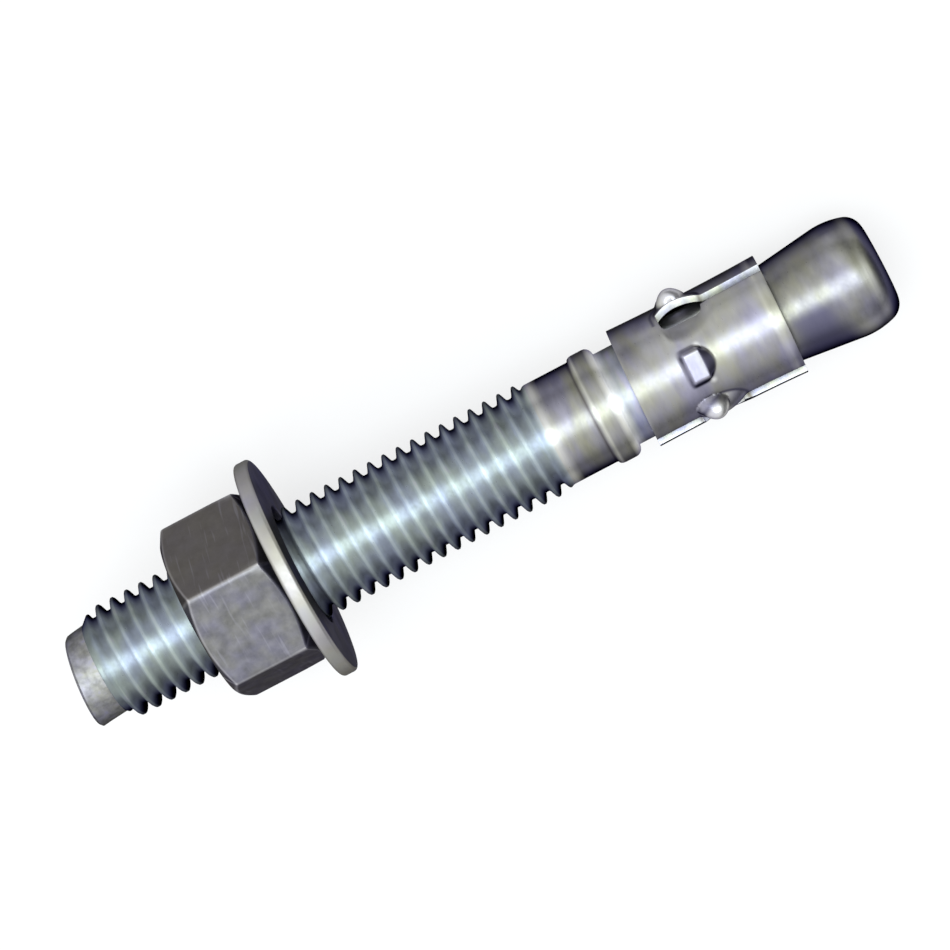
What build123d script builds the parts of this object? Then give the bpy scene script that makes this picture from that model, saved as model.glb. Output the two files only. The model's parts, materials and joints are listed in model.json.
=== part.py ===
from build123d import *
import os
from math import asin, atan2, cos, hypot, radians, sin, sqrt, tan

# Wedge anchor for a 3/4 in (19 mm) hole: a stud, its expansion clip, a flat washer and a hex nut.
# It lies on the washer's rim and on the cone. Lengths are millimetres and angles are degrees.
# A place is measured along the stud from its threaded end. An angle is measured round the stud from
# the top of the lying part, and grows by the right-hand rule about the direction towards the nose.

# Stud
dog_d = 15.15           # plain reduced end that takes the hammer blows
dog_length = 4.05
dog_chamfer = 0.4
dog_skew = 5.4          # the end is sheared this far from square
dog_skew_turn = -12.0   # angle of the line that the shear leaves square to the stud
thread_d = 18.7         # over the crests of the 3/4-10 thread
thread_pitch = 2.54
thread_crest = 0.3      # width of the flat on each crest
thread_root = 0.45      # width of the flat in each root
thread_flank_angle = 30.0
thread_lead = 2.0       # first turn, rising from the reduced end
thread_length = 75.95
thread_runout = 1.0
shank_d = 17.4
shank_length = 7.4
collar_d = 18.7
collar_width = 4.35     # from the start of its front chamfer to the end of its back one
collar_front = 1.2      # length of the gentle front chamfer
collar_back = 0.6      # length of the steep back chamfer
neck_d = 15.8
neck_length = 26.55
cone_angle = 6.95       # between the cone's side and the axis
cone_max_d = 18.9
crown_r = 12.85         # soft rounding where the cone is widest
nose_r = 3.05           # rounding between the crown and the flat end
nose_length = 6.05      # from the widest place of the cone to the flat end

# Nut and washer
nut_place = 21.05
nut_thickness = 15.75
nut_across_flats = 27.6
nut_turn = -24.0        # angle of one corner
nut_face_d = 26.35      # flat ring that the corner chamfers leave on each face
nut_chamfer_angle = 30.0
nut_mouth = 0.8        # depth of the countersink at each end of the bore
nut_clearance = 0.05    # between the bore and the crests of the stud's thread
washer_d = 37.3
washer_clearance = 0.85  # between the bore and the crests of the stud's thread
washer_thickness = 2.5
washer_rim_r = 0.6      # rounding of the rim
washer_bore_chamfer = 0.3

# Expansion clip, a strip rolled round the neck and slotted from its cone end
clip_gap = 2.95         # between the collar and the clip
clip_length = 25.6
clip_wall = 1.3
clip_waist_r = 9.7      # outside, half way along
clip_flare = 0.16       # each end is this much larger in radius
clip_segments = 3
seam_angle = 51.0       # edge of the first segment at the seam. It leaves every ear off the ground
seam_gap = 1.2
slot_gap = 1.6
eye_place = 11.4        # from the clip's collar end to the middle of each eye
eye_length = 7.0        # opening at the root of each slot, along the stud
eye_width = 3.4         # from the edge with the lip, across the slot and into the next segment
eye_corner_r = 1.5
lip_r = 5.1             # the edge arches up over the eye as a conical lip of this radius
lip_depth = 6.1         # from the stud's axis to the lip's own axis
lip_length = 2.2        # from the edge to where the lip has sunk into the strip
ear_place = 10.6        # from the clip's collar end to the middle of each ear
ear_r = 2.1             # round knob pressed out of the strip behind the lip
ear_depth = 10.5        # from the stud's axis to the knob's centre
ear_lead = 12.0         # angle from the segment's edge back to the knob's centre
pad_place = 10.9        # from the clip's collar end to the middle of the pads' feet
pad_angle = -4.0        # raised pad in the middle of the first segment
pad_height = 0.95
pad_foot_length = 5.35  # along the stud
pad_foot_width = 6.45   # round it
pad_top_length = 2.5
pad_top_width = 4.35
pad_offset = 0.45       # the top lies nearer to the collar than the foot, so that side is steep
pad_corner_r = 0.8

cut_overrun = 1.0       # how far the seam's cut runs past both ends of the clip

# Places along the stud
thread_start = dog_length + thread_lead
thread_end = thread_start + thread_length
shank_start = thread_end + thread_runout
collar_start = shank_start + shank_length
neck_start = collar_start + collar_width
cone_start = neck_start + neck_length
crown_start_r = cone_max_d / 2 - crown_r * (1 - cos(radians(cone_angle)))
crown_start = cone_start + (crown_start_r - neck_d / 2) / tan(radians(cone_angle))
crown = crown_start + crown_r * sin(radians(cone_angle))
crown_centre_r = cone_max_d / 2 - crown_r
stud_length = crown + nose_length
nose_centre = stud_length - nose_r
nose_blend = asin((nose_centre - crown) / (crown_r - nose_r))
nose_centre_r = crown_centre_r + (crown_r - nose_r) * cos(nose_blend)
washer_place = nut_place + nut_thickness
washer_end = washer_place + washer_thickness
clip_place = neck_start + clip_gap
eye_middle = clip_place + eye_place
ear_middle = clip_place + ear_place
pad_middle = clip_place + pad_place

# The ground is tangent to the washer's rounded rim and to the crown of the cone
rim_run = crown - (washer_end - washer_rim_r)
rim_drop = (washer_d / 2 - washer_rim_r) - crown_centre_r
rest_tilt = atan2(rim_drop, rim_run) + asin((washer_rim_r - crown_r) / hypot(rim_run, rim_drop))
axis_height = crown * sin(rest_tilt) + crown_centre_r * cos(rest_tilt) + crown_r

# The origin is on the ground, below the middle of the whole length
skew_run = tan(radians(dog_skew)) * cos(rest_tilt)
end_reach = (dog_d / 2 - dog_chamfer) * hypot(
    skew_run * cos(radians(dog_skew_turn)), skew_run * sin(radians(dog_skew_turn)) + sin(rest_tilt)
)
nose_reach = nose_centre * cos(rest_tilt) + nose_centre_r * sin(rest_tilt) + nose_r
lying = Plane(
    origin=((end_reach - nose_reach) / 2, 0, axis_height),
    x_dir=(cos(rest_tilt), 0, -sin(rest_tilt)),
    z_dir=(sin(rest_tilt), 0, cos(rest_tilt)),
)
stud_axis = Axis(lying.origin, lying.x_dir)
# Half sections are drawn on this plane: x runs along the stud and y is the radius
section = Plane(lying.origin, x_dir=lying.x_dir, z_dir=-lying.y_dir)


def facing_out(place, angle, radius):
    """The plane that touches the stud's cylinder of this radius. Its x runs towards the nose."""
    return Plane(lying.location * Location((place, 0, 0), (angle, 0, 0))).offset(radius)


def square_to_stud(place, angle):
    """The plane across the stud at this place. Its x points outwards at this angle."""
    outwards = facing_out(place, angle, 0)
    return Plane(outwards.origin, x_dir=outwards.z_dir, z_dir=outwards.x_dir)


# Stud: one forged piece with a rolled thread, which is drawn as rings of the thread's true form
flank_run = (thread_pitch - thread_crest - thread_root) / 2
root_r = thread_d / 2 - flank_run / tan(radians(thread_flank_angle))
thread_grooves = []
for turn in range(int((thread_length - thread_crest) / thread_pitch)):
    groove_start = thread_start + thread_crest + turn * thread_pitch
    groove_end = thread_start + (turn + 1) * thread_pitch
    thread_grooves.append((groove_start, thread_d / 2))
    thread_grooves.append((groove_start + flank_run, root_r))
    thread_grooves.append((groove_end - flank_run, root_r))
    thread_grooves.append((groove_end, thread_d / 2))

sheared_end = square_to_stud(0, dog_skew_turn).location * Location((0, 0, 0), (-dog_skew, 0, 0))

with BuildPart() as stud:
    with BuildSketch(section):
        with BuildLine():
            side = Polyline(
                (-dog_d * tan(radians(dog_skew)), 0),
                (-dog_d * tan(radians(dog_skew)), dog_d / 2),
                (dog_length, dog_d / 2),
                (thread_start, thread_d / 2),
                *thread_grooves,
                (thread_end, thread_d / 2),
                (shank_start, shank_d / 2),
                (collar_start, shank_d / 2),
                (collar_start + collar_front, collar_d / 2),
                (neck_start - collar_back, collar_d / 2),
                (neck_start, neck_d / 2),
                (cone_start, neck_d / 2),
                (crown_start, crown_start_r),
            )
            blend = (crown + crown_r * sin(nose_blend), crown_centre_r + crown_r * cos(nose_blend))
            crown_arc = TangentArc(side @ 1, blend, tangent=side % 1)
            nose_arc = TangentArc(blend, (stud_length, nose_centre_r), tangent=crown_arc % 1)
            Polyline(nose_arc @ 1, (stud_length, 0), side @ 0)
        make_face()
    revolve(axis=stud_axis)
    split(bisect_by=Plane(sheared_end), keep=Keep.TOP)
    chamfer(stud.faces().sort_by(stud_axis)[0].edges(), dog_chamfer)
stud.part.label = "stud"


# Hex nut: a hexagonal prism, whose corners are turned off by a cone at each face
with BuildPart() as hex_nut:
    with BuildSketch(square_to_stud(nut_place, nut_turn)):
        RegularPolygon(nut_across_flats / 2, 6, major_radius=False)
    extrude(amount=nut_thickness)
    nut_bore_r = thread_d / 2 + nut_clearance
    nut_corner_r = nut_across_flats / 2 / cos(radians(30))
    corner_drop = (nut_corner_r - nut_face_d / 2) * tan(radians(nut_chamfer_angle))
    with BuildSketch(section):
        with BuildLine():
            Polyline(
                (nut_place, nut_bore_r + nut_mouth),
                (nut_place, nut_face_d / 2),
                (nut_place + corner_drop, nut_corner_r),
                (washer_place - corner_drop, nut_corner_r),
                (washer_place, nut_face_d / 2),
                (washer_place, nut_bore_r + nut_mouth),
                (washer_place - nut_mouth, nut_bore_r),
                (nut_place + nut_mouth, nut_bore_r),
                close=True,
            )
        make_face()
    revolve(axis=stud_axis, mode=Mode.INTERSECT)
hex_nut.part.label = "hex_nut"


# Flat washer: punched from sheet, with a rounded rim
washer_bore_d = thread_d + 2 * washer_clearance
with BuildPart() as washer:
    with BuildSketch(square_to_stud(washer_place, 0)):
        Circle(washer_d / 2)
        Circle(washer_bore_d / 2, mode=Mode.SUBTRACT)
    extrude(amount=washer_thickness)
    rims = washer.edges().filter_by(GeomType.CIRCLE).sort_by(SortBy.RADIUS)
    fillet(rims[-2:], washer_rim_r)
    chamfer(rims[:2], washer_bore_chamfer)
washer.part.label = "washer"


# Expansion clip: a strip rolled into a ring. Two slots and the seam part its three segments. Each
# segment has a raised pad in its middle, and on its last edge a lip over the eye and a round ear.
clip_end = clip_place + clip_length
clip_reach = ear_depth + ear_r
segment_turns = [360 / clip_segments * segment for segment in range(clip_segments)]
pad_floor_r = clip_waist_r - clip_wall / 2

with BuildPart() as ear:
    segment_edge = facing_out(eye_middle, seam_angle, lip_depth)
    lip_end_r = sqrt(clip_waist_r**2 - lip_length**2) - lip_depth
    with Locations(Plane(segment_edge.origin, x_dir=segment_edge.x_dir, z_dir=segment_edge.y_dir)):
        Cone(lip_r, lip_end_r, lip_length, align=(Align.CENTER, Align.CENTER, Align.MIN))
    with Locations(facing_out(ear_middle, seam_angle - ear_lead, ear_depth)):
        Sphere(ear_r)

with BuildPart() as ear_hollow:
    with Locations(Plane(segment_edge.origin, x_dir=segment_edge.x_dir, z_dir=segment_edge.y_dir)):
        Cone(
            lip_r - clip_wall,
            lip_end_r - clip_wall,
            lip_length,
            align=(Align.CENTER, Align.CENTER, Align.MIN),
        )
    with Locations(facing_out(ear_middle, seam_angle - ear_lead, ear_depth)):
        Sphere(ear_r - clip_wall)
        Cylinder(ear_r - clip_wall, ear_r + clip_wall, align=(Align.CENTER, Align.CENTER, Align.MAX))

with BuildPart() as pad:
    with BuildSketch(facing_out(pad_middle, pad_angle, pad_floor_r)):
        RectangleRounded(pad_foot_length, pad_foot_width, pad_corner_r)
    with BuildSketch(facing_out(pad_middle - pad_offset, pad_angle, clip_waist_r + pad_height)):
        RectangleRounded(pad_top_length, pad_top_width, pad_corner_r)
    loft(ruled=True)

with BuildPart() as pad_hollow:
    with BuildSketch(facing_out(pad_middle, pad_angle, pad_floor_r - clip_wall)):
        RectangleRounded(pad_foot_length - clip_wall, pad_foot_width - clip_wall, pad_corner_r / 2)
    with BuildSketch(
        facing_out(pad_middle - pad_offset, pad_angle, clip_waist_r + pad_height - clip_wall)
    ):
        RectangleRounded(pad_top_length - clip_wall / 2, pad_top_width - clip_wall, pad_corner_r / 2)
    loft(ruled=True)

with BuildPart() as expansion_clip:
    for inset, mode in ((0, Mode.ADD), (clip_wall, Mode.SUBTRACT)):
        with BuildSketch(section):
            with BuildLine():
                side = ThreePointArc(
                    (clip_place, clip_waist_r + clip_flare - inset),
                    (clip_place + clip_length / 2, clip_waist_r - inset),
                    (clip_end, clip_waist_r + clip_flare - inset),
                )
                Polyline(side @ 0, (clip_place, 0), (clip_end, 0), side @ 1)
            make_face()
        revolve(axis=stud_axis, mode=mode)
        if mode == Mode.ADD:
            for turn in segment_turns:
                add([ear.part.rotate(stud_axis, turn), pad.part.rotate(stud_axis, turn)])
    for turn in segment_turns:
        hollows = [ear_hollow.part.rotate(stud_axis, turn), pad_hollow.part.rotate(stud_axis, turn)]
        add(hollows, mode=Mode.SUBTRACT)
        with BuildSketch(facing_out(eye_middle, seam_angle + turn, 0)):
            with BuildLine():
                edge = Line((-eye_length / 2, 0), (eye_length / 2, 0))
                eye_corners = (-eye_length / 2, -eye_width), (eye_length / 2, -eye_width)
                FilletPolyline(edge @ 0, *eye_corners, edge @ 1, radius=eye_corner_r)
            make_face()
        extrude(amount=clip_reach, mode=Mode.SUBTRACT)
        # The seam runs from end to end, and a slot only from the eye to the cone end
        gap_start, gap = (clip_place - cut_overrun, seam_gap) if turn == 0 else (eye_middle, slot_gap)
        with BuildSketch(facing_out(gap_start, seam_angle + turn, 0)):
            Rectangle(clip_end + cut_overrun - gap_start, gap, align=(Align.MIN, Align.MAX))
        extrude(amount=clip_reach, mode=Mode.SUBTRACT)
expansion_clip.part.label = "expansion_clip"

os.makedirs("parts", exist_ok=True)
export_step(stud.part, "parts/stud.step")
export_step(expansion_clip.part, "parts/expansion_clip.step")
export_step(washer.part, "parts/washer.step")
export_step(hex_nut.part, "parts/hex_nut.step")
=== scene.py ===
import json
from math import asin, atan2, cos, degrees, hypot, pi, radians, sin, sqrt, tan

import bmesh
import bpy
from mathutils import Matrix, Vector


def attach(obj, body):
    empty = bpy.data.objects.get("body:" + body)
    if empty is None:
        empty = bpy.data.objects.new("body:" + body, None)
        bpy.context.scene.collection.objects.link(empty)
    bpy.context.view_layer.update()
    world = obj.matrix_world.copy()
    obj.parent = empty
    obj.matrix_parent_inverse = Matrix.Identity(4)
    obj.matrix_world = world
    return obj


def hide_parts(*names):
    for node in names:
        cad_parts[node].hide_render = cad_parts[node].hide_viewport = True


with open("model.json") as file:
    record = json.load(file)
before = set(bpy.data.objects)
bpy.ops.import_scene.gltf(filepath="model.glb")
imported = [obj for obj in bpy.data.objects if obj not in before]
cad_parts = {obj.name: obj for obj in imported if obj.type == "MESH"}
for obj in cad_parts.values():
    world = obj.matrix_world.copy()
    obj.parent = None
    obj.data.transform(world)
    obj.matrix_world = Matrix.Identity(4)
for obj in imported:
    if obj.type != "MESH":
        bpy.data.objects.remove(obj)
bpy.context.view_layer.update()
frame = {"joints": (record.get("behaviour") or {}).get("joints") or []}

# ---------------------------------------------------------------------------------------------
# Where the anchor lies. It rests on the washer's rim and on the cone, so its axis dips towards
# the nose. Every place is measured along the stud from its threaded end, and every angle round
# the stud from the top, growing by the right-hand rule about the direction towards the nose.
mm = 0.001
joints = {joint["name"]: joint for joint in frame["joints"]}
nut_place = 21.05 * mm
along_stud = Vector(joints["nut_spin"]["axis"]).normalized()
stud_end = Vector(joints["nut_spin"]["pos_m"]) - along_stud * nut_place
sideways = Vector((0, 1, 0))
upwards = along_stud.cross(sideways)


def on_stud(place, radius, angle):
    """The point at this place along the stud, this far from its axis and at this angle round it."""
    return stud_end + along_stud * place + (upwards * cos(angle) - sideways * sin(angle)) * radius


# ---------------------------------------------------------------------------------------------
# The camera looks down on the anchor as it lies, from slightly towards the nose.
camera_turn = radians(-12)
camera_lean = radians(3.464)
camera_distance = 647 * mm
camera_roll = radians(27.7)
view_width = 148.4 * mm
aim_place = 69.7 * mm
aim_side = 0.2 * mm

facing_camera = on_stud(0, 1, camera_turn) - stud_end
towards_camera = along_stud * sin(camera_lean) + facing_camera * cos(camera_lean)
aim = on_stud(aim_place, aim_side, camera_turn + pi / 2)
stud_on_screen = (along_stud - towards_camera * along_stud.dot(towards_camera)).normalized()
across_screen = towards_camera.cross(stud_on_screen)
screen_right = stud_on_screen * cos(camera_roll) - across_screen * sin(camera_roll)
screen_up = towards_camera.cross(screen_right)
camera = bpy.data.objects.new("camera", bpy.data.cameras.new("camera"))
bpy.context.scene.collection.objects.link(camera)
camera.data.sensor_width = 36
camera.data.lens = camera.data.sensor_width * camera_distance / view_width
camera.data.clip_start, camera.data.clip_end = 0.05, 20
camera.matrix_world = Matrix.Translation(aim + towards_camera * camera_distance) @ Matrix(
    (screen_right, screen_up, towards_camera)
).transposed().to_4x4()
bpy.context.scene.camera = camera
bpy.context.scene.view_settings.view_transform = "Standard"

# ---------------------------------------------------------------------------------------------
# A white matt floor, which keeps a faint shadow, in a room that is brightest overhead, with one
# long soft lamp above the stud.
floor_size = 3.0
floor_white = 0.72          # share of plain white that the camera and reflections see in the floor
floor_mesh = bpy.data.meshes.new("floor")
floor_mesh.from_pydata(
    [(x * floor_size, y * floor_size, 0) for x, y in ((-1, -1), (1, -1), (1, 1), (-1, 1))],
    [],
    [(0, 1, 2, 3)],
)
floor = bpy.data.objects.new("floor", floor_mesh)
bpy.context.scene.collection.objects.link(floor)
floor_paint = bpy.data.materials.new("floor_paint")
floor_paint.use_nodes = True
paint_tree = floor_paint.node_tree
matt = paint_tree.nodes["Principled BSDF"]
matt.inputs["Base Color"].default_value = (0.84, 0.84, 0.84, 1)
matt.inputs["Roughness"].default_value = 0.9
matt.inputs["Specular IOR Level"].default_value = 0.1
plain_white = paint_tree.nodes.new("ShaderNodeEmission")
ray = paint_tree.nodes.new("ShaderNodeLightPath")
seen = paint_tree.nodes.new("ShaderNodeMath")
seen.operation = "MAXIMUM"
white_share = paint_tree.nodes.new("ShaderNodeMath")
white_share.operation = "MULTIPLY"
white_share.inputs[1].default_value = floor_white
floor_mix = paint_tree.nodes.new("ShaderNodeMixShader")
paint_tree.links.new(ray.outputs["Is Camera Ray"], seen.inputs[0])
paint_tree.links.new(ray.outputs["Is Glossy Ray"], seen.inputs[1])
paint_tree.links.new(seen.outputs[0], white_share.inputs[0])
paint_tree.links.new(white_share.outputs[0], floor_mix.inputs["Fac"])
paint_tree.links.new(matt.outputs[0], floor_mix.inputs[1])
paint_tree.links.new(plain_white.outputs[0], floor_mix.inputs[2])
paint_tree.links.new(floor_mix.outputs[0], paint_tree.nodes["Material Output"].inputs["Surface"])
floor_mesh.materials.append(floor_paint)

room = bpy.data.worlds.new("room")
room.use_nodes = True
room_tree = room.node_tree
direction = room_tree.nodes.new("ShaderNodeTexCoord")
height = room_tree.nodes.new("ShaderNodeVectorMath")
height.operation = "DOT_PRODUCT"
height.inputs[1].default_value = (-0.55, 0.0, 0.86)
overhead = room_tree.nodes.new("ShaderNodeMapRange")
overhead.interpolation_type = "SMOOTHSTEP"
overhead.inputs["From Min"].default_value = -0.10
overhead.inputs["From Max"].default_value = 0.65
overhead.inputs["To Min"].default_value = 0.26
overhead.inputs["To Max"].default_value = 1.42
room_tree.links.new(direction.outputs["Generated"], height.inputs[0])
room_tree.links.new(height.outputs["Value"], overhead.inputs["Value"])
room_tree.links.new(overhead.outputs["Result"], room_tree.nodes["Background"].inputs["Strength"])
room_tree.nodes["Background"].inputs["Color"].default_value = (0.97, 0.99, 1.0, 1)
bpy.context.scene.world = room


lamp_width = 0.40
lamp_length = 0.80
lamp_height = 0.8
lamp_turn = camera_turn + radians(6.4)
lamp_place = on_stud(aim_place, lamp_height, lamp_turn)
lamp = bpy.data.objects.new("overhead_lamp", bpy.data.lights.new("overhead_lamp", "AREA"))
lamp.data.shape = "RECTANGLE"
lamp.data.size, lamp.data.size_y = lamp_length, lamp_width
lamp.data.energy = 3.27
lamp.data.color = (0.84, 0.93, 1.0)
lamp_back = (lamp_place - aim).normalized()
lamp_side = lamp_back.cross(Vector((1, 0, 0))).normalized()
lamp.matrix_world = Matrix.Translation(lamp_place) @ Matrix(
    (lamp_side.cross(lamp_back), lamp_side, lamp_back)
).transposed().to_4x4()
bpy.context.scene.collection.objects.link(lamp)

# ---------------------------------------------------------------------------------------------
# Stud: one piece of steel, cold formed to a collar, a thin neck and a cone at the nose, with a
# thread rolled on the other half, then zinc plated. Hammer blows have pushed its plain end aside.
dog_r = 7.575 * mm
dog_length = 4.05 * mm
dog_chamfer = 0.4 * mm
dog_skew = radians(5.4)
dog_skew_turn = radians(-12)
dog_shift = 0.45 * mm       # how far the struck end has been pushed aside
dog_shift_way = on_stud(0, 1, radians(78)) - stud_end
thread_r = 9.35 * mm
thread_root_r = 7.8 * mm
thread_pitch = 2.54 * mm
thread_phase = 0.635 * mm   # place of a crest on the top line, less whole pitches
thread_start = 6.05 * mm
thread_end = 82.0 * mm
shank_start = 83.0 * mm
shank_r = 8.7 * mm
collar_start = 90.4 * mm
collar_r = 9.35 * mm
collar_front = 1.2 * mm
collar_back = 1.3 * mm
neck_start = 94.75 * mm
neck_r = 7.9 * mm
cone_start = 121.3 * mm
cone_angle = radians(6.95)
crown_place = 134.8 * mm
crown_r = 9.45 * mm
crown_bend = 12.85 * mm
nose_bend = 3.05 * mm
nose_place = 140.83 * mm
stud_columns = 96
crown_steps = 24
crown_fine = crown_place - 3 * mm   # the rows lie closer together from here to the nose
shank_rows = (0.4, 0.8, 1.3, 1.9, 3.5, 6.2, 6.7, 7.0, 7.2)      # mm from the shank's start
neck_rows = (0.6, 1.3, 4, 8, 10, 14.5, 19, 22)                  # mm from the neck's start


def skin(name, rows, crease=35):
    """A mesh through rows of points. Rows that end where they began are sewn there."""
    count = len(rows[0])
    mesh = bpy.data.meshes.new(name)
    mesh.from_pydata(
        [point for row in rows for point in row],
        [],
        [
            (r * count + c, (r + 1) * count + c, (r + 1) * count + c + 1, r * count + c + 1)
            for r in range(len(rows) - 1)
            for c in range(count - 1)
        ],
    )
    form = bmesh.new()
    form.from_mesh(mesh)
    bmesh.ops.remove_doubles(form, verts=form.verts, dist=1e-7)
    bmesh.ops.recalc_face_normals(form, faces=form.faces)
    form.to_mesh(mesh)
    form.free()
    mesh.polygons.foreach_set("use_smooth", [True] * len(mesh.polygons))
    mesh.set_sharp_from_angle(angle=radians(crease))
    piece = bpy.data.objects.new(name, mesh)
    bpy.context.scene.collection.objects.link(piece)
    return piece


def ramp(value, low, high):
    """0 below low, 1 above high, and a smooth rise between them."""
    share = min(max((value - low) / (high - low), 0), 1)
    return share * share * (3 - 2 * share)


def polar(point):
    """The place, radius and angle of a point, as on_stud takes them."""
    away = point - stud_end
    place = away.dot(along_stud)
    outwards = away - along_stud * place
    return place, outwards.length, atan2(-outwards.dot(sideways), outwards.dot(upwards))


def mark(piece, name, rule):
    """Stores a value at each vertex of a piece, as the rule gives it for its place, radius and angle."""
    values = [rule(*polar(vertex.co)) for vertex in piece.data.vertices]
    piece.data.attributes.new(name, "FLOAT", "POINT").data.foreach_set("value", values)


def thread_surface(place, angle):
    """The radius of the threaded length, with its tapered start and its run-out to the shank."""
    turn = (place - thread_phase) / thread_pitch - angle / (2 * pi)
    from_crest = abs(turn - round(turn)) * 2
    ridge = thread_r - (thread_r - thread_root_r) * ramp(from_crest, 0.10, 0.78)
    lead = dog_r + (thread_r - dog_r) * (place - dog_length) / (thread_start - dog_length)
    fade = ramp(place, thread_end - 0.3 * thread_pitch, shank_start)
    return min(ridge, lead) * (1 - fade) + shank_r * fade


def crown_surface(place):
    """The radius of the cone's end: straight side, soft crown and rounded nose."""
    nose_centre = nose_place - nose_bend
    blend = asin((nose_centre - crown_place) / (crown_bend - nose_bend))
    turn = (place - crown_place) / crown_bend
    if turn < -sin(cone_angle):
        side_r = crown_r - crown_bend * (1 - cos(cone_angle))
        return side_r + (place - crown_place + crown_bend * sin(cone_angle)) * tan(cone_angle)
    if turn < sin(blend):
        return crown_r - crown_bend + sqrt(crown_bend**2 - (place - crown_place) ** 2)
    nose_centre_r = crown_r - crown_bend + (crown_bend - nose_bend) * cos(blend)
    return nose_centre_r + sqrt(max(nose_bend**2 - (place - nose_centre) ** 2, 0))


stud_angles = [2 * pi * column / stud_columns for column in range(stud_columns + 1)]


def stud_ring(place, radius, skewed=0.0):
    """A ring of the stud's surface. Near the struck end it is skewed as that end is."""
    aside = dog_shift_way * dog_shift * skewed
    slant = tan(dog_skew) * skewed
    return [
        on_stud(place - radius * sin(angle - dog_skew_turn) * slant, radius, angle) + aside
        for angle in stud_angles
    ]


stud_rows = [stud_ring(0, dog_r * share, 1.0) for share in (0, 0.35, 0.7, 0.9)]
stud_rows.append(stud_ring(0, dog_r - dog_chamfer, 1.0))
stud_rows.append(stud_ring(dog_chamfer, dog_r, 1.0))
stud_rows += [stud_ring(dog_length * share, dog_r, 1 - share) for share in (0.3, 0.6, 0.9, 1.0)]
# The threaded rows run along the helix, so that they follow its crests. They are cut off at both
# ends of the thread, where they gather into one plain ring.
ridge_steps = (0, 0.06, 0.13, 0.20, 0.27, 0.34, 0.41, 0.47, 0.53, 0.59, 0.66, 0.73, 0.80, 0.87, 0.94)
for turn in range(int(dog_length / thread_pitch) - 1, int(shank_start / thread_pitch) + 2):
    for step in ridge_steps:
        row = []
        for angle in stud_angles:
            place = thread_phase + (turn + step - 1 + angle / (2 * pi)) * thread_pitch
            place = min(max(place, dog_length), shank_start)
            row.append(on_stud(place, thread_surface(place, angle), angle))
        stud_rows.append(row)
stud_rows += [stud_ring(shank_start + row * mm, shank_r) for row in shank_rows]
stud_rows.append(stud_ring(collar_start, shank_r))
for share in (0.0, 0.25, 0.5, 0.75, 1.0):
    turn = share * pi / 2
    place = collar_start + collar_front * (0.15 + 0.85 * (1 - cos(turn)))
    stud_rows.append(stud_ring(place, shank_r + (collar_r - shank_r) * (0.1 + 0.9 * sin(turn))))
for share in (0.0, 0.2, 0.4, 0.6, 0.8, 1.0):
    turn = share * pi / 2
    place = neck_start - collar_back * (1 - sin(turn))
    stud_rows.append(stud_ring(place, collar_r - (collar_r - neck_r) * (1 - cos(turn))))
stud_rows += [stud_ring(neck_start + row * mm, neck_r) for row in neck_rows]
stud_rows.append(stud_ring(cone_start, neck_r))
for step in range(crown_steps + 1):
    place = cone_start + (crown_fine - cone_start) * step / crown_steps
    stud_rows.append(stud_ring(place, crown_surface(place)))
for step in range(1, crown_steps + 1):
    place = crown_fine + (nose_place - crown_fine) * sin(pi / 2 * step / crown_steps)
    stud_rows.append(stud_ring(place, crown_surface(place)))
stud_rows += [stud_ring(nose_place, crown_surface(nose_place) * share) for share in (0.8, 0.4, 0)]
stud = skin("zinc_stud", stud_rows)
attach(stud, "stud")
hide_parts("stud")


def add(tree, kind, inputs=(), **settings):
    """A new node. Each input is a socket's name or number, and the value or the output for it."""
    new = tree.nodes.new("ShaderNode" + kind)
    for setting, value in settings.items():
        setattr(new, setting, value)
    for socket, value in dict(inputs).items():
        if isinstance(value, bpy.types.NodeSocket):
            tree.links.new(value, new.inputs[socket])
        else:
            new.inputs[socket].default_value = value
    return new


def effect(name, inputs, outputs):
    """A new shader node group and its two end nodes. Inputs and outputs give each socket's type."""
    group = bpy.data.node_groups.new(name, "ShaderNodeTree")
    for direction, sockets in (("INPUT", inputs), ("OUTPUT", outputs)):
        for socket, kind in sockets.items():
            group.interface.new_socket(socket, in_out=direction, socket_type="NodeSocket" + kind)
    return group, group.nodes.new("NodeGroupInput"), group.nodes.new("NodeGroupOutput")


# Zinc plating is a little yellow in some places and violet in others, and lighter and darker
plating, given, result = effect(
    "plating_tints",
    {
        "Color": "Color",
        "Blotch per m": "Float",
        "Streak": "Float",
        "Tint": "Float",
        "Mottle": "Float",
        "Roughness": "Float",
    },
    {"Color": "Color", "Roughness": "Float"},
)
where = add(plating, "TexCoord").outputs["Object"]
along = add(plating, "VectorMath", {0: where, 1: tuple(along_stud)}, operation="DOT_PRODUCT")
extra = add(plating, "Math", {0: along.outputs["Value"], 1: given.outputs["Streak"]}, operation="MULTIPLY")
extra_way = add(plating, "VectorMath", {0: tuple(along_stud), "Scale": extra.outputs[0]}, operation="SCALE")
where = add(plating, "VectorMath", {0: where, 1: extra_way.outputs[0]}, operation="ADD").outputs[0]
blotch = add(plating, "TexNoise", {"Vector": where, "Scale": given.outputs["Blotch per m"], "Detail": 3.0})
hue_share = add(plating, "MapRange", {"Value": blotch.outputs["Fac"], "From Min": 0.36, "From Max": 0.64})
hue = add(
    plating,
    "Mix",
    {"Factor": hue_share.outputs[0], 6: (1.08, 1.08, 0.80, 1), 7: (0.93, 0.91, 1.16, 1)},
    data_type="RGBA",
)
tinted = add(
    plating,
    "Mix",
    {"Factor": given.outputs["Tint"], 6: given.outputs["Color"], 7: hue.outputs[2]},
    data_type="RGBA",
    blend_type="MULTIPLY",
)
elsewhere = add(plating, "VectorMath", {0: where, 1: (0.31, 0.17, 0.23)}, operation="ADD")
finer = add(plating, "Math", {0: given.outputs["Blotch per m"], 1: 1.9}, operation="MULTIPLY")
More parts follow.
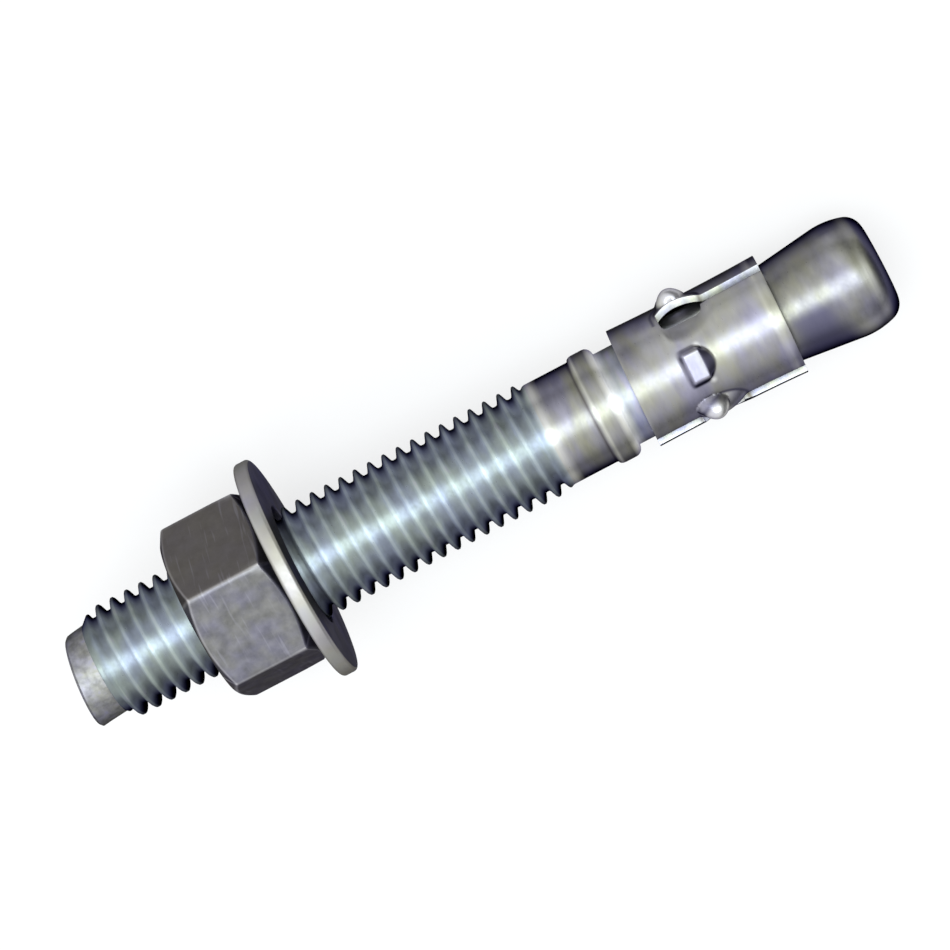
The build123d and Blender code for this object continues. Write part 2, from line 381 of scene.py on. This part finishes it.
cloud = add(plating, "TexNoise", {"Vector": elsewhere.outputs[0], "Scale": finer.outputs[0], "Detail": 4.0})
level = add(plating, "MapRange", {"Value": cloud.outputs["Fac"], "From Min": 0.3, "From Max": 0.7})
darker = add(plating, "Math", {0: 1.0, 1: given.outputs["Mottle"]}, operation="SUBTRACT")
plating.links.new(darker.outputs[0], level.inputs["To Min"])
lighter = add(plating, "Math", {0: given.outputs["Mottle"], 1: 0.5, 2: 1.0}, operation="MULTIPLY_ADD")
plating.links.new(lighter.outputs[0], level.inputs["To Max"])
shaded = add(plating, "VectorMath", {0: tinted.outputs[2], "Scale": level.outputs[0]}, operation="SCALE")
grain = add(plating, "TexNoise", {"Vector": where, "Scale": 1500.0, "Detail": 2.0})
grain_step = add(plating, "MapRange", {"Value": grain.outputs["Fac"], "To Min": -0.12, "To Max": 0.12})
rougher = add(plating, "Math", {0: given.outputs["Roughness"], 1: grain_step.outputs[0]}, operation="ADD")
plating.links.new(shaded.outputs[0], result.inputs["Color"])
plating.links.new(rougher.outputs[0], result.inputs["Roughness"])

# Fine marks that run round the stud, from forming and rolling
rings, given, result = effect("round_marks", {"Per m": "Float"}, {"Height": "Float"})
where = add(rings, "TexCoord").outputs["Object"]
place_along = add(rings, "VectorMath", {0: where, 1: tuple(along_stud)}, operation="DOT_PRODUCT")
stretched = add(rings, "VectorMath", {0: where, "Scale": 0.06}, operation="SCALE")
ring_place = add(rings, "CombineXYZ", {0: place_along.outputs["Value"]})
ring_point = add(rings, "VectorMath", {0: ring_place.outputs[0], 1: stretched.outputs[0]}, operation="ADD")
ring_noise = add(
    rings, "TexNoise", {"Vector": ring_point.outputs[0], "Scale": given.outputs["Per m"], "Detail": 3.0}
)
rings.links.new(ring_noise.outputs["Fac"], result.inputs["Height"])

# Short thin scratches in a few directions
scuffs, given, result = effect("scratches", {"Per m": "Float", "Amount": "Float"}, {"Mask": "Float"})
where = add(scuffs, "TexCoord").outputs["Object"]
layers = []
for turn in ((0.4, 0.2, 0.9), (1.3, 0.8, 2.2), (0.2, 2.1, 1.5), (2.6, 0.5, 0.3)):
    turned = add(scuffs, "Mapping", {"Vector": where, "Rotation": turn, "Scale": (1.0, 0.1, 0.1)})
    lines = add(
        scuffs, "TexNoise", {"Vector": turned.outputs[0], "Scale": given.outputs["Per m"], "Detail": 1.0}
    )
    thinned = add(scuffs, "MapRange", {"Value": lines.outputs["Fac"], "From Min": 0.68, "From Max": 0.78})
    layers.append(thinned.outputs[0])
mask = layers[0]
for layer in layers[1:]:
    mask = add(scuffs, "Math", {0: mask, 1: layer}, operation="MAXIMUM").outputs[0]
amount = add(scuffs, "Math", {0: mask, 1: given.outputs["Amount"]}, operation="MULTIPLY")
scuffs.links.new(amount.outputs[0], result.inputs["Mask"])


# Bare zinc where the plating has rubbed through; the same colour is also used for painted highlights and
# painted light
wear_and_highlight_colour = (0.97, 0.96, 0.93)
coat_lifted = 0.65            # share of the coat that is gone where the mark for wear and painted highlights is full


def finish(
    name, colour, roughness, coat, blotches=90, streak=2.5, tint=0.8, mottle=0.3, stain_and_shade_colour=(0.30, 0.27, 0.20)
):
    """A plated finish. Its coat darkens round forms towards their edges. One mark thins the coat and turns
    the colour to bare zinc, for real wear and for painted highlights and painted light; another turns it to
    a darker colour, for stains and for painted shade.
    """
    paint = bpy.data.materials.new(name)
    paint.use_nodes = True
    tree = paint.node_tree
    shader = tree.nodes["Principled BSDF"]
    shader.inputs["Metallic"].default_value = 1.0
    shader.inputs["Specular Tint"].default_value = (0.26, 0.22, 0.50, 1)
    shader.inputs["Coat IOR"].default_value = 1.0
    shader.inputs["Coat Tint"].default_value = (0.29, 0.285, 0.375, 1)
    tints = tree.nodes.new("ShaderNodeGroup")
    tints.node_tree = plating
    for socket, value in (
        ("Color", (*colour, 1)),
        ("Blotch per m", blotches),
        ("Streak", streak),
        ("Tint", tint),
        ("Mottle", mottle),
        ("Roughness", roughness),
    ):
        tints.inputs[socket].default_value = value
    # The first attribute carries real wear and painted highlights, the second stains and painted shade
    wear_and_highlight = add(tree, "Attribute", attribute_name="wear_and_highlight").outputs["Fac"]
    stain_and_shade = add(tree, "Attribute", attribute_name="stain_and_shade").outputs["Fac"]
    lightened = add(
        tree, "Mix", {"Factor": wear_and_highlight, 6: tints.outputs["Color"], 7: (*wear_and_highlight_colour, 1)}, data_type="RGBA"
    )
    darkened = add(tree, "Mix", {"Factor": stain_and_shade, 6: lightened.outputs[2], 7: (*stain_and_shade_colour, 1)}, data_type="RGBA")
    coating = add(tree, "Math", {0: wear_and_highlight, 1: -coat_lifted * coat, 2: coat}, operation="MULTIPLY_ADD")
    tree.links.new(darkened.outputs[2], shader.inputs["Base Color"])
    tree.links.new(coating.outputs[0], shader.inputs["Coat Weight"])
    tree.links.new(tints.outputs["Roughness"], shader.inputs["Roughness"])
    return paint


def ringed(paint, per_m, height):
    """Raises fine marks round the piece on its finish, this high at most."""
    tree = paint.node_tree
    marks = tree.nodes.new("ShaderNodeGroup")
    marks.node_tree = rings
    marks.inputs["Per m"].default_value = per_m
    bump = add(tree, "Bump", {"Height": marks.outputs["Height"], "Distance": height, "Strength": 1.0})
    tree.links.new(bump.outputs[0], tree.nodes["Principled BSDF"].inputs["Normal"])


stud_paint = finish("stud_zinc", (0.94, 0.95, 0.70), 0.33, 1.0, mottle=0.22)
ringed(stud_paint, 2600.0, 0.012 * mm)
thread_paint = finish(
    "thread_zinc", (0.82, 0.97, 0.79), 0.33, 1.0, blotches=160, streak=0.5, tint=0.5, mottle=0.22
)
end_paint = finish(
    "struck_end", (0.97, 0.98, 0.80), 0.52, 0.91, blotches=420, streak=0.0, tint=0.35, mottle=0.35
)
ringed(end_paint, 1500.0, 0.05 * mm)
neck_paint = finish("neck_zinc", (0.94, 1.0, 0.92), 0.40, 0.9)
# The cone's violet colour for darkening is painted shade on its nose, and also darkens one side of it
cone_paint = finish("cone_zinc", (0.93, 0.94, 0.69), 0.33, 1.0, streak=1.0, stain_and_shade_colour=(0.38, 0.375, 0.45))
ringed(cone_paint, 2600.0, 0.012 * mm)
for paint in (stud_paint, thread_paint, end_paint, neck_paint, cone_paint):
    stud.data.materials.append(paint)
for face in stud.data.polygons:
    place = polar(face.center)[0]
    if place < dog_length:
        face.material_index = 2
    elif place < shank_start:
        face.material_index = 1
    elif place > cone_start:
        face.material_index = 4
    elif place > neck_start - 0.3 * mm:
        face.material_index = 3


def band(value, middle, half):
    """1 in the middle of a band and nothing beyond it."""
    return 1 - ramp(abs(value - middle), 0, half)


# The cone is darker on one side, between these angles and these places
darker_side_angles = (radians(-8), radians(8), radians(44), radians(80))    # it sets in, and fades again
darker_side_places = (cone_start, cone_start + 5 * mm, 129 * mm, 134 * mm)
# From here on the nose is painted shade
nose_painted_shade = (138.7 * mm, 139.7 * mm)
# Lighter patches on the crown, and a painted highlight round the nose
crown_patch_place = 135 * mm
nose_highlight_place = 138.1 * mm
# Round here the neck is lightened: painted light in the shade under the clip's eyes
under_clip = neck_start + 14.5 * mm


def stud_shade_and_darker_side(place, radius, angle):
    """Painted shade in the thread's roots, in the crease before the collar and on the nose, and one side of
    the cone darker.
    """
    if dog_length < place < shank_start:
        return 0.15 * ramp(thread_r - radius, 0.35 * mm, 1.3 * mm)
    if place < cone_start:
        return 0.8 * band(place, collar_start, 0.35 * mm)
    darker_side = ramp(angle, *darker_side_angles[:2]) * (1 - ramp(angle, *darker_side_angles[2:]))
    darker_side *= ramp(place, *darker_side_places[:2]) * (1 - ramp(place, *darker_side_places[2:]))
    return 0.9 * max(darker_side, ramp(place, *nose_painted_shade))


def stud_wear_and_light(place, radius, angle):
    """Bright crests from wear; painted light on the end of the thread, on both sides of the collar and on
    the neck in the shade under the clip's eyes; lighter patches on the crown; and a painted highlight round
    the nose."""
    if dog_length < place < thread_end:
        return 0.12 * (1 - ramp(thread_r - radius, 0.01 * mm, 0.2 * mm))
    # Painted light on the steps at the thread's end and round the collar, and under the clip
    ends = 0.5 * band(place, shank_start + 0.4 * mm, 1.5 * mm)
    front = 0.4 * band(place, collar_start + 0.8 * mm, 0.6 * mm)
    back = 0.75 * band(place, neck_start - 0.2 * mm, 1.4 * mm)
    neck = 0.9 * band(place, under_clip, 7 * mm)
    crown = 0.3 * band(place, crown_patch_place, 3.5 * mm) * max(-cos(4 * angle), 0)
    nose = 0.45 * band(place, nose_highlight_place, 1.2 * mm) * max(cos(1.5 * angle), 0.2)
    return ends + front + back + neck + crown + nose


mark(stud, "wear_and_highlight", stud_wear_and_light)
mark(stud, "stain_and_shade", stud_shade_and_darker_side)
# From arm's length a rolled thread shades more like a plain rod than its steep flanks would
thread_soft = 0.9
normals = [Vector(corner.vector) for corner in stud.data.corner_normals]
for index, loop in enumerate(stud.data.loops):
    point = stud.data.vertices[loop.vertex_index].co
    place, radius, angle = polar(point)
    if dog_length < place < neck_start + 1 * mm:
        outwards = (point - stud_end - along_stud * place).normalized()
        normals[index] = (normals[index] * (1 - thread_soft) + outwards * thread_soft).normalized()
stud.data.normals_split_custom_set(normals)

# ---------------------------------------------------------------------------------------------
# Hex nut: hot forged from steel, tapped and zinc plated, with its corners turned off at both faces.
# It is run on to the thread up to the washer, and its flats are scratched in handling, and each is darker
# to its own degree.
nut_end = 36.8 * mm
nut_half_flats = 13.8 * mm
nut_turn = radians(-23.5)
nut_face_r = 13.175 * mm
nut_washer_side = 0.5 * mm  # the chamfer on the washer's side goes this much deeper
nut_mouth = 0.8 * mm
nut_bore_r = 9.4 * mm
nut_chamfer = radians(30)
nut_edge = 0.17 * mm        # rounding of the six edges
nut_face_edge = 0.12 * mm   # rounding where the chamfer meets the flats
nut_columns = 288


def soft_min(first, second, rounding):
    """The smaller of two lengths, rounded where they are alike."""
    return (first + second - sqrt((first - second) ** 2 + 4 * rounding**2)) / 2


def nut_surface(place, angle):
    """The radius of the nut's outside: six flats, cut by the cone that turns off the corners."""
    from_corner = (angle - nut_turn + pi / 6) % (pi / 3) - pi / 6
    flats = soft_min(
        nut_half_flats / cos(pi / 6 - from_corner), nut_half_flats / cos(pi / 6 + from_corner), nut_edge
    )
    chamfer = min(place - nut_place, nut_end - place - nut_washer_side) / tan(nut_chamfer)
    return soft_min(flats, nut_face_r + chamfer, nut_face_edge)


nut_angles = [2 * pi * column / nut_columns for column in range(nut_columns + 1)]


def nut_ring(place, radius=None):
    """A ring of the nut. With no radius given, it follows the flats."""
    return [on_stud(place, radius or nut_surface(place, angle), angle) for angle in nut_angles]


chamfer_depth = (nut_half_flats / cos(pi / 6) - nut_face_r) * tan(nut_chamfer) + 0.4 * mm
chamfer_steps = 16
mouth_r = nut_bore_r + nut_mouth
nut_rows = [nut_ring(nut_place + nut_mouth, nut_bore_r), nut_ring(nut_place, mouth_r)]
nut_rows += [nut_ring(nut_place, mouth_r + 1.2 * mm), nut_ring(nut_place, nut_face_r - 0.3 * mm)]
depths = [chamfer_depth * step / chamfer_steps for step in range(chamfer_steps + 1)]
flats_length = nut_end - nut_place - 2 * chamfer_depth
middle = [chamfer_depth + flats_length * share for share in (0.25, 0.5, 0.75)]
for depth in depths + middle + [nut_end - nut_place - depth for depth in reversed(depths)]:
    nut_rows.append(nut_ring(nut_place + depth))
nut_rows += [nut_ring(nut_end, nut_face_r - 1.3 * mm), nut_ring(nut_end, mouth_r + 1.2 * mm)]
nut_rows += [nut_ring(nut_end, mouth_r), nut_ring(nut_end - nut_mouth, nut_bore_r)]
nut_rows.append(nut_ring(nut_place + nut_mouth, nut_bore_r))
hex_nut = skin("forged_nut", nut_rows, crease=40)
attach(hex_nut, "nut")
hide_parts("hex_nut")
nut_paint = finish(
    "nut_zinc", (0.43, 0.425, 0.39), 0.50, 0.82, blotches=260, streak=0.0, tint=0.4, mottle=0.3
)
nut_tree = nut_paint.node_tree
nut_colour = nut_tree.nodes["Principled BSDF"].inputs["Base Color"]
scratched = nut_tree.nodes.new("ShaderNodeGroup")
scratched.node_tree = scuffs
scratched.inputs["Per m"].default_value = 1300.0
scratched.inputs["Amount"].default_value = 0.2
bared = add(
    nut_tree,
    "Mix",
    {"Factor": scratched.outputs["Mask"], 6: nut_colour.links[0].from_socket, 7: (0.95, 0.94, 0.92, 1)},
    data_type="RGBA",
)
nut_tree.links.new(bared.outputs[2], nut_colour)
hex_nut.data.materials.append(nut_paint)
# How much darker each flat is; the darkest, 0.75, is the flat that the camera sees above the front one
flat_darkness = (0.0, 0.25, 0.45, 0.20, 0.35, 0.75)   # one for each flat, round the nut


def nut_wear(place, radius, angle):
    """Bright wear along the six edges and where the chamfers meet the flats."""
    if radius < nut_face_r - 0.2 * mm:
        return 0.0
    from_corner = abs((angle - nut_turn + pi / 6) % (pi / 3) - pi / 6) * radius
    flat_r = nut_half_flats / cos(pi / 6 - from_corner / radius)
    from_face = min(place - nut_place, nut_end - nut_washer_side - place)
    from_chamfer = abs(from_face - (flat_r - nut_face_r) * tan(nut_chamfer))
    return min(0.4 * band(from_corner, 0, 0.5 * mm) + 0.35 * band(from_chamfer, 0, 0.35 * mm), 1)


def nut_flat_darkness(place, radius, angle):
    """Each flat is darker to its own degree, less along its rubbed edges."""
    turn = ((angle - nut_turn) % (2 * pi)) / (pi / 3)
    return flat_darkness[int(turn) % 6] * (1 - nut_wear(place, radius, angle))


mark(hex_nut, "wear_and_highlight", nut_wear)
mark(hex_nut, "stain_and_shade", nut_flat_darkness)

# ---------------------------------------------------------------------------------------------
# Flat washer: punched from steel sheet and zinc plated, with the rounded rim that punching leaves.
# It lies loose on the thread, against the nut.
washer_end = nut_end + 2.5 * mm
washer_r = 18.65 * mm
washer_bore_r = 10.2 * mm
rim_bend = 0.6 * mm
bore_bend = 0.3 * mm
bend_steps = 6
washer_columns = 160
washer_angles = [2 * pi * column / washer_columns for column in range(washer_columns + 1)]
washer_edge = []
# Each corner of the section is an arc, from the bore side of the nut's face round to the bore again
for centre_place, centre_r, bend, first_turn in (
    (nut_end + bore_bend, washer_bore_r + bore_bend, bore_bend, 270),
    (nut_end + rim_bend, washer_r - rim_bend, rim_bend, 180),
    (washer_end - rim_bend, washer_r - rim_bend, rim_bend, 90),
    (washer_end - bore_bend, washer_bore_r + bore_bend, bore_bend, 0),
):
    for step in range(bend_steps + 1):
        turn = radians(first_turn - 90 * step / bend_steps)
        washer_edge.append((centre_place + bend * cos(turn), centre_r + bend * sin(turn)))
washer_edge.append(washer_edge[0])
washer = skin(
    "punched_washer",
    [[on_stud(place, radius, angle) for angle in washer_angles] for place, radius in washer_edge],
)
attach(washer, "washer")
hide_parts("washer")
# Face and rim are the same plated steel; the face's bluer colour is partly painted shade, the rim's
# lighter, creamier colour partly painted light
washer.data.materials.append(finish("washer_face_zinc_shaded", (0.84, 0.84, 0.98), 0.45, 0.90, streak=0.0))
washer.data.materials.append(
    finish("washer_rim_zinc_lit", (1.0, 0.98, 0.84), 0.46, 0.80, streak=0.0, tint=0.5, mottle=0.15)
)
for face in washer.data.polygons:
    if polar(face.center)[1] > washer_r - 0.7 * rim_bend:
        face.material_index = 1

# ---------------------------------------------------------------------------------------------
# Expansion clip: a zinc plated steel strip, blanked with its eyes and slots, pressed with pads and
# round ears, and rolled round the neck. It sits loose there, a little askew, and its free end stands
# proud at the seam. Angles round the clip are in degrees.
clip_place = 97.7 * mm
clip_length = 25.6 * mm
clip_wall = 1.3 * mm
clip_waist_r = 9.7 * mm
clip_flares = (0.16 * mm, 0.26 * mm)    # at the collar end and at the cone end
clip_edge = 0.09 * mm
clip_lean = 0.30 * mm       # how far aside it stands at its collar end
clip_lean_turn = radians(-102)
clip_lean_way = on_stud(0, 1, clip_lean_turn) - stud_end
clip_slip = (0.15 * mm, 0.35 * mm)      # how far it has slipped to the cone, and more where it leans
segment_firsts = (60.5, 181.4, 301.4)
segment_lasts = (171.0, 291.0, 411.0)
slot_width = radians(segment_firsts[1] - segment_lasts[0]) * clip_waist_r
proud_height = 0.33 * mm
proud_reach = 40.0
eye_start = 7.9 * mm
eye_length = 7.0 * mm
eye_depth = 1.7 * mm        # how far each eye bites into the segment after the slot
eye_corner = 1.3 * mm
eye_fade = 42.0             # how far round the mesh gives way to the eye
lip_height = 1.33 * mm
lip_place = 11.1 * mm
lip_reaches = (3.6 * mm, 4.5 * mm)      # towards the collar and towards the cone
lip_length = 3.0 * mm
ear_places = (10.4 * mm, 11.0 * mm, 10.1 * mm)
ear_lead = 11.0             # from the segment's last edge back to the middle of its ear
ear_height = 1.85 * mm
ear_half = (2.6 * mm, 1.7 * mm)         # along the stud and round it
ear_bluntness = 0.8
dish_depth = 0.24 * mm      # each segment dips at its first edge, before the eye
dish_length = 5.1 * mm
dish_place = 11.3 * mm
dish_half = 5.618 * mm
pad_lead = 54.6             # from the segment's first edge to the middle of its pad
pad_height = 0.75 * mm
pad_foot = (8.0 * mm, 13.55 * mm)
pad_top = (9.25 * mm, 11.7 * mm)
pad_foot_half = 3.3 * mm
pad_top_half = 1.95 * mm
pad_bow = 0.9 * mm          # the foot of the long slope draws back this much towards its sides
pad_edge = 0.07
segment_columns = 92
slot_columns = 8


def soft_max(first, second, rounding):
    """The larger of two lengths, rounded where they are alike."""
    return -soft_min(-first, -second, rounding)


def pad_foot_end(side):
    """Where the pad's long slope meets the strip, this far to the side of the pad's middle."""
    return pad_foot[1] - pad_bow * (side / pad_top_half) ** 2


def pad_rise(place, side):
    """How far the pad has risen, 0 to 1, at this place and this far to the side of its middle."""
    foot_end = pad_foot_end(side)
    far = (foot_end - place) / max(foot_end - pad_top[1], 0.4 * mm)
    near = ramp(place, pad_foot[0], pad_top[0])
    sides = ramp(pad_foot_half - abs(side), 0, pad_foot_half - pad_top_half)
    return near * sides * soft_max(soft_min(far, 1, pad_edge), 0, 0.02)


def dish_share(place, from_first):
    """1 in the middle of a dish and 0 at its rim, this far round from the segment's first edge."""
    share = 1 - hypot(max(from_first, 0) / dish_length, (place - dish_place) / dish_half)
    return ramp(share, 0.0, 0.45) * ramp(place, eye_start, eye_start + 1 * mm)


def lip_reach(place):
    """How far the lip reaches along the stud from its middle, on this side of it."""
    return lip_reaches[0] if place < lip_place else lip_reaches[1]


def clip_surface(place, angle, segment):
    """The outside radius of the clip, this far from its collar end and at this angle round it."""
    flare = clip_flares[0] if 2 * place < clip_length else clip_flares[1]
    radius = clip_waist_r + flare * (2 * place / clip_length - 1) ** 2
    from_proud = 1 - (angle - segment_firsts[0]) / proud_reach
    radius += proud_height * max(from_proud, 0) ** 2
    from_first = radians(angle - segment_firsts[segment]) * clip_waist_r
    from_last = radians(segment_lasts[segment] - angle) * clip_waist_r
    radius -= dish_depth * dish_share(place, from_first)
    side = from_first - radians(pad_lead) * clip_waist_r
    if abs(side) < pad_foot_half + 1 * mm:
        pad_r = (clip_waist_r + pad_height) / cos(side / clip_waist_r)
        radius += (pad_r - radius) * pad_rise(place, side)
    lip = 1 - ((place - lip_place) / lip_reach(place)) ** 2 - (max(from_last, 0) / lip_length) ** 2
    radius += lip_height * soft_max(lip, 0, 0.02) * ramp(from_last, -slot_width, -0.2 * slot_width)
    round_ear = (from_last - radians(ear_lead) * clip_waist_r) / ear_half[1]
    ear_away = hypot(round_ear, (place - ear_places[segment]) / ear_half[0])
    if ear_away < 1:
        radius += ear_height * (1 - ear_away**2) ** ear_bluntness
    return radius


def eye_bite(place):
    """How far the eye has cut into the next segment at this place, round corners included."""
    from_end = min(place - eye_start, eye_start + eye_length - place)
    if from_end <= 0:
        return 0.0
    corner = max(eye_corner - from_end, 0)
    return max(eye_depth - eye_corner + sqrt(eye_corner**2 - corner**2), 0)


# Columns run from the proud end round to the other end. Between segments they fill only the part of
# the strip that joins them, on the collar side of the eye.
clip_columns = []
for segment in range(3):
    width = segment_lasts[segment] - segment_firsts[segment]
    for column in range(segment_columns + 1):
        clip_columns.append((segment, segment_firsts[segment] + width * column / segment_columns, False))
    if segment < 2:
        gap = segment_firsts[segment + 1] - segment_lasts[segment]
        for column in range(1, slot_columns):
            clip_columns.append((segment, segment_lasts[segment] + gap * column / slot_columns, True))
collar_pitch, eye_pitch, cone_pitch = 0.5 * mm, 0.165 * mm, 0.55 * mm
clip_rows = [collar_pitch * row for row in range(14)]
clip_rows += [eye_start + eye_pitch * row for row in range(-8, 54)]
clip_rows += [clip_length - cone_pitch * row for row in reversed(range(16))]
clip_points = []
for wall in (0, clip_wall):
    for place in clip_rows:
        for segment, angle, in_slot in clip_columns:
            if not in_slot:
                share = 1 - (angle - segment_firsts[segment]) / eye_fade
                if segment > 0 or place > eye_start:
                    angle += degrees(eye_bite(place) / clip_waist_r) * max(share, 0) ** 2
            radius = clip_surface(place, angle, segment) - wall
            slip = clip_slip[0] + clip_slip[1] * cos(radians(angle) - clip_lean_turn)
            point = on_stud(clip_place + place + slip, radius, radians(angle))
            clip_points.append(point + clip_lean_way * clip_lean * (1 - place / clip_length))
clip_faces = []
open_edges = set()
columns = len(clip_columns)
inner = len(clip_rows) * columns
for row in range(len(clip_rows) - 1):
    for column in range(columns - 1):
        in_slot = clip_columns[column][2] or clip_columns[column + 1][2]
        if in_slot and clip_rows[row] > eye_start - 0.01 * mm:
            continue
        first = row * columns + column
        corners = (first, first + columns, first + columns + 1, first + 1)
        clip_faces += [corners, tuple(corner + inner for corner in reversed(corners))]
        for edge in zip(corners, corners[1:] + corners[:1]):
            if edge[::-1] in open_edges:
                open_edges.remove(edge[::-1])
            else:
                open_edges.add(edge)
clip_faces += [(end, start, start + inner, end + inner) for start, end in open_edges]
clip_mesh = bpy.data.meshes.new("rolled_clip")
clip_mesh.from_pydata(clip_points, [], clip_faces)
for face in clip_mesh.polygons[-len(open_edges):]:
    face.material_index = 1
form = bmesh.new()
form.from_mesh(clip_mesh)
bmesh.ops.delete(form, geom=[vert for vert in form.verts if not vert.link_faces], context="VERTS")
bmesh.ops.recalc_face_normals(form, faces=form.faces)
form.edges.ensure_lookup_table()
cut_rim = [edge for edge in form.edges if edge.calc_face_angle(0) > radians(62)]
bmesh.ops.bevel(
    form, geom=cut_rim, offset=clip_edge, segments=2, profile=0.5, affect="EDGES", clamp_overlap=True
)
form.to_mesh(clip_mesh)
form.free()
clip_mesh.polygons.foreach_set("use_smooth", [True] * len(clip_mesh.polygons))
clip_mesh.set_sharp_from_angle(angle=radians(40))
expansion_clip = bpy.data.objects.new("rolled_clip", clip_mesh)
bpy.context.scene.collection.objects.link(expansion_clip)
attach(expansion_clip, "clip")
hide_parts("expansion_clip")
# The clip's dark violet colour for darkening is painted shade on its pads, lips and dishes
clip_paint = finish(
    "clip_zinc", (1.0, 1.0, 0.80), 0.33, 0.97, streak=1.6, mottle=0.2, stain_and_shade_colour=(0.20, 0.19, 0.27)
)
ringed(clip_paint, 1800.0, 0.008 * mm)
# The cut edges are left whiter and more matt than the rolled faces
cut_paint = finish("cut_edge", (0.94, 0.97, 1.0), 0.5, 0.0)
cut_paint.node_tree.nodes["Principled BSDF"].inputs["Metallic"].default_value = 0.45
expansion_clip.data.materials.append(clip_paint)
expansion_clip.data.materials.append(cut_paint)
corner_place = 11.9 * mm    # the two painted highlights at the corners of each pad
corner_side = 3.1 * mm
corner_r = 0.8 * mm
# The painted shade round each lip lies along this line
lip_crease = lip_length + 0.3 * mm


def clip_painted_light_and_wear(place, radius, angle):
    """Painted highlights near the cone end and at the corners of the pads, painted light on the upper side,
    and on the raised crowns painted highlight and wear.
    """
    place -= clip_place
    side = radians((degrees(angle) - segment_firsts[2] + 10) % 120 - 10 - pad_lead) * clip_waist_r
    corners = 0.6 * band(hypot(place - corner_place, abs(side) - corner_side), 0, corner_r)
    upper = 0.35 * band(angle, radians(-45), radians(22)) * ramp(place, 2 * mm, 6 * mm)
    crowns = 0.5 * ramp(radius, clip_waist_r + 0.85 * mm, clip_waist_r + 1.6 * mm)
    end = 0.22 * band(place, clip_length - 1.4 * mm, 0.7 * mm)
    return end + corners + upper + crowns


def clip_painted_shade(place, radius, angle):
    """Painted shade on the pads' long slopes, in the crease round each lip and in the dishes."""
    place -= clip_place
    turn = degrees(angle)
    stain_and_shade = 0.0
    for first in segment_firsts:
        from_first = radians((turn - first + 10) % 360 - 10) * clip_waist_r
        side = from_first - radians(pad_lead) * clip_waist_r
        slope = ramp(place, pad_top[1] - 0.1 * mm, pad_top[1] + 0.2 * mm)
        slope *= ramp(pad_foot_end(side) - place, 0, 0.4 * mm)
        stain_and_shade += 0.85 * slope * ramp(pad_foot_half - abs(side), 0, 0.3 * mm)
        stain_and_shade += 0.4 * dish_share(place, from_first)
    for last in segment_lasts:
        from_last = radians((last - turn + 10) % 360 - 10) * clip_waist_r
        lip = hypot((place - lip_place) / lip_reach(place), max(from_last, 0) / lip_crease)
        stain_and_shade += 0.75 * band(lip, 1.02, 0.13)
    return min(stain_and_shade, 1)


mark(expansion_clip, "wear_and_highlight", clip_painted_light_and_wear)
mark(expansion_clip, "stain_and_shade", clip_painted_shade)
